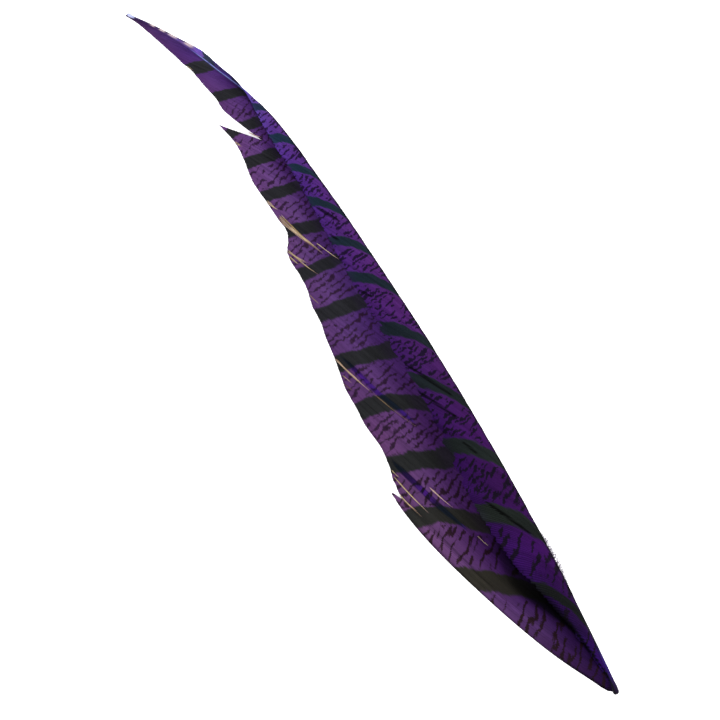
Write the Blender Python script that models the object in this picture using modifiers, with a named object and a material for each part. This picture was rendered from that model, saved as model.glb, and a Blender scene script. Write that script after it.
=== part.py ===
"""Dyed pheasant tail feather, lying on a table.

The feather grew as one piece, so it is one solid: a long tapering shaft, a broad inner vane that
spreads from it over the table, and a narrow outer vane that is folded up and back over the shaft,
on top of the inner one. Both vanes are split into locks of barbs, which all lie towards the tip.

Stations run along X from the feather's tip to its quill end. Y runs across, towards the shaft's
side, and Z is up, with the table at zero. Sizes are in millimetres until the mesh is made.
"""

import bmesh
import bpy
import numpy as np

NAME = "pheasant_tail_feather"
MM = 0.001

# The whole feather.
LENGTH = 380.0
MIDDLE = (190.0, -1.65)  # station and side of the middle of the feather's box

# The shaft: its line seen from above, its radius, and how far it is lifted off the table.
SHAFT_LINE = [
    (0, 0.2), (14, 7.0), (29, 13.6), (45, 18.7), (60, 23.2), (80, 25.6), (105, 25.9), (135, 25.6),
    (165, 24.5), (200, 22.8), (240, 19.6), (280, 15.3), (320, 9.9), (350, 5.0), (380, -0.6),
]
SHAFT_LIFT = [
    (0, 3.4), (30, 2.4), (60, 1.2), (90, 0.3), (115, 0.0), (140, 0.1), (200, 1.1), (260, 1.4),
    (320, 0.6), (350, 0.0), (380, 0.0),
]
SHAFT_TIP_RADIUS = 0.3
SHAFT_QUILL_RADIUS = 1.25
SHAFT_SUNK = 0.75  # share of its radius at which the shaft's middle lies, above its flat underside
SHAFT_STEPS = 38
QUILL_ROUNDING = [(1.6, 1.0), (0.5, 0.82), (0.0, 0.5)]  # distance from the end, share of the radius

# The vanes: stations of the roots along the shaft, and steps along each barb.
VANE_THICKNESS = 0.7
LAST_ROOT = 379.4
INTERVALS = 70  # each lock covers two of them, so there are 35 locks on each side of the shaft
STEPS = [0.0, 0.08, 0.2, 0.34, 0.48, 0.62, 0.76, 0.9, 1.0]
LOCK_CROWN = 0.1  # how much the middle of a lock stands above its sides, as a share of its width
CROWN_SHARE = 0.25  # of the lock's length, over which its crown grows from the root
CROWN_STATION = 30.0  # and of the shaft, over which the locks' crowns grow from the tip
HEADING_SHARE = 0.03  # of a barb's length, on each side of the point where its heading is taken
TIP_PINCH = 0.34  # share of its width that a lock loses at its tip, on each side
TIP_SHORTER = 0.8  # how much shorter a lock's sides are than its middle, as a share of half its width
MOST_SHORTENING = 0.4  # as a share of how deep the locks are parted
USUAL_SPLIT = 0.9  # neighbouring locks part at this share of their length

# The inner vane: the line of its barb tips, which stops at a deep slit and goes on below it.
INNER_FIRST_SPLIT = 4  # counted in intervals from the tip, as the deeper splits and their shares are
SLIT_ROOT = 20
INNER_SPLITS = {SLIT_ROOT: 0.62, 28: 0.76, 34: 0.76, 42: 0.76, 54: 0.76, 60: 0.76, 68: 0.62}
RIM_BEFORE_SLIT = [
    (0, -1.0), (6, 1.6), (16, 4.2), (27, 6.4), (38, 8.0), (49, 9.6), (60, 9.9), (66, 11.2),
]
RIM_AFTER_SLIT = [
    (64.2, 4.3), (76, 5.0), (93, 1.7), (115, 0.9), (122, 0.2), (130, -4.6), (142, -6.6),
    (158, -10.0), (175, -14.4), (196, -19.6), (213, -22.0), (229, -22.9), (240, -26.0),
    (246, -30.0),
]
INNER_TIP_OF_ROOT = [
    (0, 0), (6, 1.8), (14, 5.6), (29, 13.7), (60, 33.0), (108, 65.6), (184, 113.8), (288, 181.0),
    (378, 246.0),
]
INNER_BOW = 0.015  # sideways bow of a barb, as a share of its length
QUILL_BOW = 0.035  # and what the last barbs bow more
QUILL_BOW_GROWTH = 12  # how late towards the quill end that is added
QUILL_BOW_ROOT = 1.6  # how much fuller it is by the root
QUILL_BOW_FALL = 5  # and how soon it falls from there
LEFT_EDGE = [
    (0, -1.0), (30, 7.0), (60, 9.9), (82, 4.4), (104, 1.1), (121, 0.4), (131, -4.9), (164, -11.0),
    (197, -19.7), (229, -22.2), (251, -30.7), (268, -30.0), (290, -27.0), (322, -20.9),
    (344, -15.2), (366, -7.2), (380, -1.8),
]
INNER_ARCH = [
    (0, 0.2), (40, 1.0), (80, 2.2), (120, 3.2), (180, 4.4), (240, 4.8), (300, 4.6), (340, 3.0),
    (365, 1.2), (380, 0.3),
]
ARCH_SKEW = [(0, 1.15), (240, 1.15), (330, 1.6), (380, 1.6)]  # the arch peaks nearer the rim at the quill
RIM_HEIGHT = 0.46  # of the vane's middle surface where it rests on the table
RIM_LIFT_SHARE = 0.9  # of the shaft's lift near the tip, that the rim shares
RIM_REST_STATION = 115.0

# The outer vane: flat beside the shaft at the tip, and folded over it from FOLD_START on.
OUTER_FIRST_SPLIT = 16
OUTER_SPLITS = {22: 0.76, 32: 0.76, 40: 0.76, 46: 0.62, 50: 0.76, 56: 0.62, 62: 0.76}
OUTER_RIM_SIDE = [
    (0, 1.0), (11, 7.6), (22, 12.9), (33, 17.9), (44, 20.7), (54, 22.7), (62, 22.6), (70, 21.2),
    (85, 19.4), (105, 18.3), (135, 14.4), (165, 10.4), (200, 7.0), (235, 2.2), (270, -3.4),
    (300, -4.7), (325, -2.0), (350, 0.2), (380, -0.4),
]
OUTER_RIM_HEIGHT = [
    (0, 3.8), (30, 3.3), (48, 4.0), (58, 5.0), (68, 5.5), (85, 4.8), (105, 4.8), (150, 6.2),
    (200, 7.0), (250, 7.6), (290, 8.0), (325, 7.6), (350, 5.8), (380, 2.4),
]
OUTER_TIP_OF_ROOT = [
    (0, 0), (6, 3.8), (14, 10.0), (28.7, 21.8), (68, 48.0), (109, 80.0), (182, 130.0), (291, 232.0),
    (346, 299.0), (366, 330.0), (378, 357.0),
]
FOLD_START, FOLD_END = 44.0, 74.0
ROLL_REACH = 10.0  # an outer vane narrower than this rolls less
ROLL_OUT = 4.0  # the pull of the roll beyond the shaft, which puts its side 1.2 outside
ROLL_UP = 1.6
ROLL_BACK = 2.0
ROLL_RISE = 2.4


def along(points, x):
    """The smooth line through a few points, at x."""
    xs, ys = np.array(points, float).T
    slopes = np.gradient(ys, xs)
    i = int(np.clip(np.searchsorted(xs, x) - 1, 0, len(xs) - 2))
    span = xs[i + 1] - xs[i]
    t = (x - xs[i]) / span
    start = (1 + 2 * t) * (1 - t) ** 2 * ys[i] + t * (1 - t) ** 2 * span * slopes[i]
    end = t * t * (3 - 2 * t) * ys[i + 1] + t * t * (t - 1) * span * slopes[i + 1]
    return start + end


def ease(t):
    t = float(np.clip(t, 0, 1))
    return t * t * (3 - 2 * t)


def shaft_radius(x):
    return SHAFT_TIP_RADIUS + (SHAFT_QUILL_RADIUS - SHAFT_TIP_RADIUS) * (x / LENGTH) ** 0.9


def shaft_point(x):
    height = max(along(SHAFT_LIFT, x), 0) + SHAFT_SUNK * shaft_radius(x)
    return np.array([x, along(SHAFT_LINE, x), height])


def root(i):
    """Where the barbs of interval line i leave the shaft."""
    return LAST_ROOT * i / INTERVALS


def inner_height(x, y):
    """The inner vane's arch, from the shaft down to the rim."""
    side = along(SHAFT_LINE, x)
    share = float(np.clip((side - y) / (side - along(LEFT_EDGE, x)), 0, 1))
    rest = RIM_HEIGHT
    if x < RIM_REST_STATION:
        rest += RIM_LIFT_SHARE * max(along(SHAFT_LIFT, x), 0)
    slope = shaft_point(x)[2] * (1 - share) + rest * share
    return slope + along(INNER_ARCH, x) * np.sin(np.pi * share ** along(ARCH_SKEW, x))


def inner_tip(i, after_slit):
    x = along(INNER_TIP_OF_ROOT, root(i))
    if i == SLIT_ROOT and after_slit:
        x = RIM_AFTER_SLIT[0][0]
    rim = RIM_AFTER_SLIT if after_slit else RIM_BEFORE_SLIT
    return np.array([x, along(rim, x)])


def inner_barb(i, t, after_slit):
    """A point at share t of the inner barb of line i, from its root to its tip."""
    base = shaft_point(root(i))[:2]
    chord = inner_tip(i, after_slit) - base
    fuller = 1 + QUILL_BOW_ROOT * (1 - t) ** QUILL_BOW_FALL
    bow = INNER_BOW + QUILL_BOW * fuller * (root(i) / LAST_ROOT) ** QUILL_BOW_GROWTH
    across = np.array([-chord[1], chord[0]])
    x, y = base + chord * t + across * bow * 4 * t * (1 - t)
    return np.array([x, y, inner_height(x, y)])


def inner_point(i, t, quill_side=False):
    """As inner_barb, with the deep slit's two sides together as far as its end."""
    if i != SLIT_ROOT:
        return inner_barb(i, t, i > SLIT_ROOT)
    point = inner_barb(i, t, False)
    split = INNER_SPLITS[SLIT_ROOT]
    if quill_side and t > split:
        opening = (t - split) / (1 - split)
        point[:2] += (inner_tip(i, True) - inner_tip(i, False)) * opening
        point[2] = inner_height(point[0], point[1])
    return point


def outer_point(i, t, quill_side=False):
    """A point at share t of the outer barb of line i: flat near the tip, rolled over further on.

    This vane has no deep slit, so both sides of a line are at one place.
    """
    x = root(i) + (along(OUTER_TIP_OF_ROOT, root(i)) - root(i)) * t
    start = shaft_point(x)[1:]
    rim = np.array([along(OUTER_RIM_SIDE, x), along(OUTER_RIM_HEIGHT, x)])
    folded = ease((x - FOLD_START) / (FOLD_END - FOLD_START))
    roll = min(1, np.linalg.norm(rim - start) / ROLL_REACH)
    out = start + np.array([ROLL_OUT, ROLL_UP]) * roll
    over = np.array([start[0] - ROLL_BACK * roll, rim[1] + ROLL_RISE * roll])
    first = (start * 2 + rim) / 3 * (1 - folded) + out * folded
    second = (start + rim * 2) / 3 * (1 - folded) + over * folded
    y, z = (
        start * (1 - t) ** 3
        + first * 3 * t * (1 - t) ** 2
        + second * 3 * t * t * (1 - t)
        + rim * t**3
    )
    return np.array([x, y, z])


def heading(barb_point, i, t):
    """The unit direction of barb i at share t, towards its tip."""
    ahead = barb_point(i, min(1, t + HEADING_SHARE)) - barb_point(i, max(0, t - HEADING_SHARE))
    return ahead / np.linalg.norm(ahead)


def sideways(vector, direction):
    return vector - direction * np.dot(vector, direction)


def split_share(vane, i):
    """The share of its length at which the locks beside line i part; they stay joined at 1."""
    if i < vane["first_split"]:
        return 1.0
    return vane["splits"].get(i, USUAL_SPLIT)


def lock_point(vane, i, step, side):
    """A point of a lock: side -1 and 1 are its edges, towards the tip and the quill, 0 its middle."""
    t = STEPS[step]
    barb_point = vane["point"]
    if side == 0:
        point = barb_point(i, t)
        across = barb_point(i + 1, t) - barb_point(i - 1, t, quill_side=True)
        width = np.linalg.norm(sideways(across, heading(barb_point, i, t)))
        point[2] += LOCK_CROWN * width * ease(t / CROWN_SHARE) * ease(root(i) / CROWN_STATION)
        return point
    split = split_share(vane, i)
    edge = barb_point(i, t, quill_side=side < 0)
    if t <= split or i in (0, INTERVALS):
        return edge
    opening = (t - split) / (1 - split)
    direction = heading(barb_point, i, t)
    inwards = sideways(barb_point(i - side, t) - edge, direction)
    parted = barb_point(i, 1, quill_side=side < 0) - barb_point(i, split, quill_side=side < 0)
    shortening = min(TIP_SHORTER * np.linalg.norm(inwards), MOST_SHORTENING * np.linalg.norm(parted))
    return edge + (inwards * TIP_PINCH - direction * shortening) * opening


def add_vane(mesh, roots, vane, turned):
    """One vane: locks of two intervals that share their edges up to where they part."""
    made = {}

    def vertex(i, step, side):
        if step == 0:
            return roots[i]
        shared = i in (0, INTERVALS) or STEPS[step] <= split_share(vane, i)
        key = (i, step, 0 if shared else side)
        if key not in made:
            made[key] = mesh.verts.new(lock_point(vane, i, step, side))
        return made[key]

    for middle in range(1, INTERVALS, 2):
        for near, far in (((middle - 1, -1), (middle, 0)), ((middle, 0), (middle + 1, 1))):
            for step in range(len(STEPS) - 1):
                corners = [
                    vertex(near[0], step, near[1]),
                    vertex(far[0], step, far[1]),
                    vertex(far[0], step + 1, far[1]),
                    vertex(near[0], step + 1, near[1]),
                ]
                mesh.faces.new(corners[::-1] if turned else corners)


def place(vertex_co):
    """From millimetres along the feather to metres about the middle of its box."""
    x, y, z = vertex_co
    return (x - MIDDLE[0]) * MM, (y - MIDDLE[1]) * MM, z * MM


def make_vanes():
    """Both vanes as one open sheet through the shaft's line, with Solidify for their thickness."""
    mesh = bmesh.new()
    roots = [mesh.verts.new(shaft_point(root(i))) for i in range(INTERVALS + 1)]
    inner = {"point": inner_point, "splits": INNER_SPLITS, "first_split": INNER_FIRST_SPLIT}
    outer = {"point": outer_point, "splits": OUTER_SPLITS, "first_split": OUTER_FIRST_SPLIT}
    add_vane(mesh, roots, inner, turned=True)
    add_vane(mesh, roots, outer, turned=False)
    for vertex in mesh.verts:
        vertex.co = place(vertex.co)
    data = bpy.data.meshes.new(NAME)
    mesh.to_mesh(data)
    mesh.free()
    vanes = bpy.data.objects.new(NAME, data)
    thickness = vanes.modifiers.new("vane_thickness", "SOLIDIFY")
    thickness.thickness = VANE_THICKNESS * MM
    thickness.offset = 0
    return vanes


def make_shaft(collection):
    """The shaft: a tapered tube along its line, cut flat where it lies on the table."""
    stations = [LENGTH * k / SHAFT_STEPS for k in range(SHAFT_STEPS)]
    sections = [(x, shaft_radius(x)) for x in stations[:-1]]
    sections += [(LENGTH - back, share * SHAFT_QUILL_RADIUS) for back, share in QUILL_ROUNDING]
    curve = bpy.data.curves.new("shaft_line", "CURVE")
    curve.dimensions = "3D"
    curve.bevel_depth = MM
    curve.bevel_resolution = 2
    curve.use_fill_caps = True
    spline = curve.splines.new("POLY")
    spline.points.add(len(sections) - 1)
    for point, (x, radius) in zip(spline.points, sections):
        point.co = (*place(shaft_point(x)), 1)
        point.radius = radius
    line = bpy.data.objects.new("shaft_line", curve)
    collection.objects.link(line)
    graph = bpy.context.evaluated_depsgraph_get()
    data = bpy.data.meshes.new_from_object(line.evaluated_get(graph))
    bpy.data.objects.remove(line)
    flatten_underside(data)
    shaft = bpy.data.objects.new("shaft", data)
    collection.objects.link(shaft)
    shaft.hide_render = True
    shaft.display_type = "WIRE"
    return shaft


def flatten_underside(data):
    mesh = bmesh.new()
    mesh.from_mesh(data)
    bmesh.ops.remove_doubles(mesh, verts=mesh.verts, dist=1e-6)
    everything = mesh.verts[:] + mesh.edges[:] + mesh.faces[:]
    cut = bmesh.ops.bisect_plane(
        mesh, geom=everything, dist=1e-7, plane_co=(0, 0, 0), plane_no=(0, 0, -1), clear_outer=True
    )
    edges = [item for item in cut["geom_cut"] if isinstance(item, bmesh.types.BMEdge)]
    bmesh.ops.edgenet_fill(mesh, edges=edges)
    bmesh.ops.recalc_face_normals(mesh, faces=mesh.faces)
    mesh.to_mesh(data)
    mesh.free()


def dyed_barbs():
    """Barbs dyed purple, with the faint gloss of feather."""
    material = bpy.data.materials.new("dyed_barbs")
    material.use_nodes = True
    shader = material.node_tree.nodes["Principled BSDF"]
    shader.inputs["Base Color"].default_value = (0.09, 0.025, 0.2, 1)
    shader.inputs["Roughness"].default_value = 0.55
    shader.inputs["Metallic"].default_value = 0
    return material


def main():
    for old in list(bpy.data.objects):
        bpy.data.objects.remove(old)
    parts = bpy.data.collections.new(NAME)
    joined = bpy.data.collections.new("joined_shapes")
    for collection in (parts, joined):
        bpy.context.scene.collection.children.link(collection)
    shaft = make_shaft(joined)
    feather = make_vanes()
    parts.objects.link(feather)
    union = feather.modifiers.new("shaft", "BOOLEAN")
    union.operation = "UNION"
    union.solver = "EXACT"
    union.object = shaft
    feather.data.materials.append(dyed_barbs())
    feather.data.shade_smooth()


main()
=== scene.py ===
"""A dyed pheasant tail feather on a pale table, seen from straight above.

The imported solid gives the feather's form. Here it gets its barbs: each vane is made of several
hundred fine barbs along the solid's surface, and of a thin web between them. With them come the
grooved shaft, the barbs that the dye missed, the ones that have turned over, and the down by the
quill.

Stations run along the feather from its tip, sides across it towards the shaft's side, and heights
up from the table, all in millimetres, as in the solid. place() takes them to metres.
"""

import math
from functools import partial

import bpy
import numpy as np
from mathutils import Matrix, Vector


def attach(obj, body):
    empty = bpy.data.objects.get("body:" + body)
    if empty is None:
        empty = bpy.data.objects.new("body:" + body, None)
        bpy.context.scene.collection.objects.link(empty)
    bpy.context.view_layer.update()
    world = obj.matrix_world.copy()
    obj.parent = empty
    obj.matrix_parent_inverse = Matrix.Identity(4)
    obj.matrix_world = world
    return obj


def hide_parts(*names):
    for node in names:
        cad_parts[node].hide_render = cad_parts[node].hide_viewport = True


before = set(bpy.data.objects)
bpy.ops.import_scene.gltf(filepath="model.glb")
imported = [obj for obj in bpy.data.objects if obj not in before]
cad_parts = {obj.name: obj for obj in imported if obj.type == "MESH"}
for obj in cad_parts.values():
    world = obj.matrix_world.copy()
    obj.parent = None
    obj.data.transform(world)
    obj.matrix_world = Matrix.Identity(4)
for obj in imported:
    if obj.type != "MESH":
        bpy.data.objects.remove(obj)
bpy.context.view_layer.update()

NODE = "pheasant_tail_feather"
MM = 0.001

# ------------------------------------ the feather's form: the solid's, finer at its rims and ends

LENGTH = 380.0
MIDDLE = (190.0, -1.65)  # station and side of the middle of the feather's box
SHAFT_LINE = [  # station and side of its middle
    (0, 0.2), (14, 7.0), (29, 13.6), (45, 18.7), (60, 23.2), (80, 25.6), (105, 25.9), (135, 25.6),
    (165, 24.5), (200, 22.8), (240, 19.6), (280, 15.3), (320, 9.9), (350, 5.0), (380, -0.6),
]
SHAFT_LIFT = [  # station, and height of its underside
    (0, 3.4), (30, 2.4), (60, 1.2), (90, 0.3), (115, 0.0), (140, 0.1), (200, 1.1), (260, 1.4),
    (320, 0.6), (350, 0.0), (380, 0.0),
]
SHAFT_TIP_RADIUS = 0.3
SHAFT_QUILL_RADIUS = 1.25
SHAFT_SUNK = 0.75  # share of its radius at which the shaft's middle lies, above its flat underside

LAST_ROOT = 379.4
LINES = 70  # the locks' edges and middles, counted from the tip: a lock takes two

# The inner vane. Its rim is the line of its barbs' tips, which stops at a slit and goes on past it.
SLIT_LINE = 20
SLIT_SPLIT = 0.62  # the share of the barbs' length from which the slit is open
RIM_BEFORE_SLIT = [
    (0, -1.0), (6, 1.4), (12, 3.0), (18, 4.4), (24, 5.7), (30, 7.0), (33, 7.5), (36, 8.5), (42, 9.1),
    (49, 9.7), (54, 10.3), (60, 9.9), (66, 11.2),
]
RIM_AFTER_SLIT = [
    (64.2, 4.3), (76, 5.5), (84, 4.3), (93, 1.9), (107, 1.3), (115, 1.0), (122.5, 0.7), (126, -1.4),
    (129.5, -4.4), (132, -5.2), (142, -6.0), (149, -7.2), (156, -9.6), (164, -10.8), (172, -13.2),
    (180, -15.0), (188, -17.3), (196, -19.6), (204, -20.4), (213, -21.8), (229, -22.4), (234, -23.6),
    (238, -24.8), (241, -26.1), (245.2, -27.9), (246.3, -29.2), (249.4, -30.5),
]
INNER_TIP_OF_ROOT = [  # the station of a barb's root, and of its tip
    (0, 0), (6, 1.8), (14, 5.6), (29, 13.7), (60, 33.0), (108, 65.6), (184, 113.8), (288, 181.0),
    (330, 212.5), (366, 243.6), (370, 246.4), (378, 249.4),
]
INNER_BOW = 0.015  # sideways bow of a barb, as a share of its length
QUILL_BOW = 0.0475  # and what the last barbs bow more
QUILL_BOW_SHAPE = 1.42, -2.36, 2.04  # how that changes along the barb: a level, a slope and a curve
QUILL_BOW_GROWTH = 12  # how late towards the quill end it is added
QUILL_BOW_ROOT = 5  # how much fuller it is by the root
QUILL_BOW_FALL = 35  # and how soon it falls from there
LEFT_EDGE = [  # the vane's outline without its notches, by which it arches and takes its colours
    (0, -1.0), (30, 7.0), (60, 9.9), (82, 4.4), (104, 1.1), (121, 0.4), (131, -4.9), (164, -11.0),
    (197, -19.7), (229, -22.2), (251, -30.7), (268, -30.0), (290, -27.0), (322, -20.9),
    (344, -15.2), (366, -7.2), (380, -1.8),
]
INNER_ARCH = [  # station and height
    (0, 0.2), (40, 1.0), (80, 2.2), (120, 3.2), (180, 4.4), (240, 4.8), (300, 4.6), (340, 3.0),
    (365, 1.2), (380, 0.3),
]
# At the quill the arch peaks nearer the rim.
ARCH_SKEW = [(0, 1.15), (240, 1.15), (330, 1.6), (380, 1.6)]
RIM_HEIGHT = 0.46  # of the vane's middle surface where it rests on the table
RIM_LIFT_SHARE = 0.9  # of the shaft's lift near the tip, that the rim shares
RIM_REST_STATION = 115.0  # from here on it rests

# The outer vane: flat beside the shaft at the tip, and folded over it from FOLD_START on.
OUTER_RIM_SIDE = [
    (0, 0.5), (11, 6.9), (22, 12.5), (33, 17.8), (44, 20.4), (54, 22.7), (62, 22.6), (70, 21.2),
    (85, 19.4), (105, 18.3), (135, 14.4), (165, 10.4), (200, 7.0), (235, 2.2), (270, -3.4),
    (300, -4.7), (325, -2.0), (350, 0.2), (380, -0.4),
]
OUTER_RIM_HEIGHT = [(0, 3.8), (30, 3.3), (48, 4.0), (58, 5.0), (68, 5.5), (85, 4.8), (380, 4.8)]
OUTER_TIP_OF_ROOT = [
    (0, 0), (6, 3.8), (14, 10.0), (28.7, 21.8), (68, 48.0), (109, 80.0), (182, 130.0), (291, 232.0),
    (346, 301.0), (366, 340.0), (378, 370.0),
]
FOLD_START, FOLD_END = 44.0, 74.0
RIM_STANDS_OFF = [  # how high the folded vane's rim lies above the inner vane
    (60, 0.5), (90, 0.35), (130, 0.15), (285, 0.15), (312, 1.2), (345, 1.2), (365, 0.5), (380, 0.3),
]
ROLL_REACH = 10.0  # an outer vane narrower than this rolls less
# The pull of the roll beyond the shaft, by the station, and up from it.
ROLL_OUT = [(0, 4), (58, 4.5), (68, 7.5), (84, 5.6), (100, 5.4), (116, 4.2), (150, 4), (380, 4)]
ROLL_UP = 1.6
ROLL_BACK = 2.0  # the pull where it has come over: back past the shaft, and up from the rim
ROLL_RISE = 2.4
ROLL_SIDE = 1.4  # how far the roll stands out past the middle of the shaft
NARROWEST = 0.5  # what the outer vane counts as wide, at least

# ----------------------------------------------------------------------------------- the barbs

BARBS = 420  # on each side of the shaft: coarser than the real 600 or so, so that they show
BARB_STEPS = 44
BARB_OVERLAP = 1.35  # a barb's width, as a share of its distance from the next
BARB_RELIEF = 0.3  # its thickness as a share of its width
BARB_TIP_SHARE = 0.012  # the last part of a barb, over which it thins
BARB_TIP_WIDTH = 0.5
BARB_SIDES = 4
HEADING_SHARE = 0.03  # of a barb, on each side of the point where its heading is taken
INNER_UNEVEN, OUTER_UNEVEN = 0.4, 1.4  # the most that a barb falls short of the rim, in millimetres
UNEVEN_FROM, UNEVEN_GROWTH = 20.0, 40.0  # the station past which they do, and over how long it grows
UNEVEN_PARTS = 10  # a barb never loses more than one part in so many
LOCK_LINES = 2  # how many lines a lock takes
LOCK_CROWN = 0.06  # height of a lock's crown, as a share of its width
CROWN_SHARE = 0.25  # of the barb, over which the crown grows from the root
CROWN_STATION = 30.0  # and of the shaft, over which it grows from the tip
LOCK_SPLIT, LOCK_PINCH = 0.9, 0.03  # where a lock's point begins, and how far its barbs draw together
GAP_PINCH = 0.6  # the same in a lock that stands apart from the next
INNER_GAPS = {68: 0.95}  # the line at which one does, and the share of the barbs from which it does
LAST_LOCK = 68  # from this line on, the barbs gather along the edge of the feather
WISP_LINES = 0.5  # the fine points that the rim's barbs gather in: their width in lines
WISP_SPLIT = (0.95, 0.99)
WISP_PINCH = 0.05
RIPPLE = 0.1  # height of the vane's ripples, in millimetres
RIPPLE_ACROSS = 0.45  # their width in lines
RIPPLE_ALONG = 0.22  # and their length as a share of a barb
FINE_RIPPLE = 0.5, 2.7, 2  # the finer ones: share of the height, and how much narrower and shorter
BARB_ROLL = 0.1  # the most that a barb is turned about itself, in radians
BARB_ROLL_ACROSS = 4  # how much narrower than a ripple the groups of barbs are that turn alike
INNER_SEED, OUTER_SEED = 11, 23
WEB_STEP = 2  # the web between the barbs takes every second one of their points
WEB_HALF = 0.03  # half its thickness

# Partings, where barbs have come unhooked: their two ends and their width.
OUTER_PARTINGS = [
    ((121.0, 18.2), (132.5, 23.0), 0.7), ((134.7, 15.9), (139.0, 17.6), 0.45),
    ((162.5, 11.7), (168.5, 14.5), 0.45), ((202.0, 8.9), (226.0, 17.8), 0.8),
    ((214.5, 6.0), (235.0, 13.8), 0.7), ((246.5, 9.6), (254.5, 11.8), 0.5),
    ((273.5, 2.1), (298.0, 10.0), 0.85),
]
INNER_PARTINGS = [((267.0, -24.8), (319.0, -16.7), 0.15)]
PARTING_REACH = 1.6  # how far off the barbs still give way
PARTING_BLUNTNESS = 0.7  # a lower power opens a parting sooner behind its ends

# ------------------------------------------------------------------------------------- the dye, and the shade painted on the vanes

# The dark bars. On the inner vane: a bar's station at the rim and at the fold, and how late it bends
# between them. On the outer one: its station at the rim, and how much further on it meets the roll,
# where it runs out along the edge. The first and the last aren't drawn.
INNER_BARS = [
    (17, 20, 1), (36.9, 40.2, 1), (53.7, 59.2, 1), (71.0, 73.7, 1), (86.0, 90.5, 1),
    (102.6, 109, 1.1), (122.0, 129.0, 1.1), (141.4, 145.4, 1), (161.2, 167.4, 1.1),
    (184.2, 192.6, 1.1), (207.1, 220.5, 1.7), (235.3, 247.0, 1.1), (259.8, 281.0, 1.5),
    (296.5, 321.5, 1.25), (352, 372, 1.2),
]
OUTER_BARS = [
    (18, 4), (37.0, 1.6), (53.5, 4), (67.5, 5), (83.8, 8), (99.3, 13.5), (116.4, 18), (137.1, 18),
    (154.6, 22), (182.0, 25), (207.9, 31), (243.1, 23), (274.8, 32), (318.0, 40), (352, 60),
]
BAR_STRAIGHT = 0.4  # the share of an outer bar's run that is even; the rest comes close to the roll
FIRST_BARS, LAST_BARS = 0.5, 13.5  # no bar is drawn before and after these, counted from the tip
BAR_SERRATION = 0.016  # how far a bar's edge steps from barb to barb, as a share of the bars' spacing
BAR_WAVER, WAVER_CELL = 0.035, 4.0  # how far it wavers, and over how many millimetres
BAR_SOFTNESS = 0.022
BAR_IN_FOLD = 0.9  # how strongly a bar takes the fold's painted shade
FADE_IN_FOLD, FADE_FROM = 0.1, 0.75  # how much of it the dye hides by the fold, and from where
TONE_CLOUDS, CLOUDS_ACROSS, CLOUDS_ALONG = 0.16, 2.3, 4  # light and dark clouds, and how fine they are
TONE_OF_BARB = 0.11  # how much barbs differ from their neighbours
FINE_LINES_BEGIN, FINE_LINES_FULL = 2.0, 2.8  # counted in bars from the tip
CLEAR_OF_BAR = 0.02, 0.08  # shares of the bars' spacing over which the fine lines set in
LINE_STEP = 0.07  # how far a fine line steps from barb to barb, as a share of the lines' spacing
LINE_MARGIN, LINE_SAMPLES = 20, 400  # they are counted from that far off the feather, in these steps
LINE_STRETCH = 2.0  # how much longer the strokes are than the noise that breaks them is wide
BREAKS_SHIFT = (7.3, 2.1, 5.0)  # this noise is taken elsewhere than the one that bends them
STROKE_EDGE = -0.02, 0.07  # where a stroke's edge begins and where it's full, as shares of the spacing
# By the station, how far across a vane the fold's painted shade sets in: 0 at the far side, 1 in
# the fold.
FOLD_SHADE = [
    (0, 0.4), (60, 0.4), (75, 0.45), (255, 0.45), (280, 0.0), (318, 0.0), (334, 0.3), (380, 0.3),
]
FOLD_SHADE_TINT = (1.0, 1.5, 0.85)  # painted shade in the fold, partly a deeper dye: green drops most and blue least

# What the two faces look like. Most of it goes by the station: the colours, how much light the
# painted shade in the fold leaves, how far the fine lines lean from square to the shaft, their
# spacing in millimetres and their strength. Widths of bars go by the bar's number, as shares of
# their spacing. The fine lines wander by a noise as fine as "wander" and as high as "waviness", in
# spacings. A noise as fine as "breaks" breaks them: between the two values of "broken" a stroke
# swells to half of its width, "line_width". "gloss" is the specular level.
#
# The face that looked down on the bird: duller and greyer, with brownish bars and loose, wavy lines.
DULL_FACE = {
    "dye": [
        (0, "#2b1938"), (5, "#301c3d"), (12, "#3b234d"), (30, "#381f53"), (80, "#4d3062"),
        (125, "#492f5d"), (175, "#412857"), (225, "#482c56"), (275, "#4d325a"), (320, "#422a56"),
        (350, "#2a153b"), (380, "#100223"),
    ],
    "bars": [
        (30, "#1f1f22"), (150, "#1c1c20"), (250, "#1d1e1e"), (300, "#26241f"), (380, "#171218"),
    ],
    "fine_lines": [(50, "#28172f"), (220, "#241528"), (300, "#221418"), (380, "#140812")],
    "in_fold": [
        (0, 1), (40, 1), (52, 0.5), (62, 0.55), (75, 0.5), (90, 0.36), (112, 0.45), (137, 0.47),
        (162, 0.65), (187, 0.46), (212, 0.47), (237, 0.32), (262, 0.36), (285, 0.2), (300, 0.16),
        (315, 0.16), (330, 0.2), (350, 0.4), (366, 0.8), (380, 1.2),
    ],
    "line_lean": [(0, 0.29), (280, 0.35), (320, 0.7), (380, 1.0)],
    "bar_width": [(1, 0.19), (2, 0.165), (3, 0.155)],
    "line_spacing": [(0, 3.0), (90, 3.0), (150, 3.2), (240, 3.4), (270, 4.0), (300, 5.6), (380, 6.4)],
    "wander": 0.85, "waviness": 2.2, "line_width": 0.2, "breaks": 0.8, "broken": (0.36, 0.49),
    "line_strength": [(0, 1), (280, 1), (310, 0.9), (380, 0.9)],
    "gloss": 0.015, "partings": INNER_PARTINGS,
}
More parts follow.
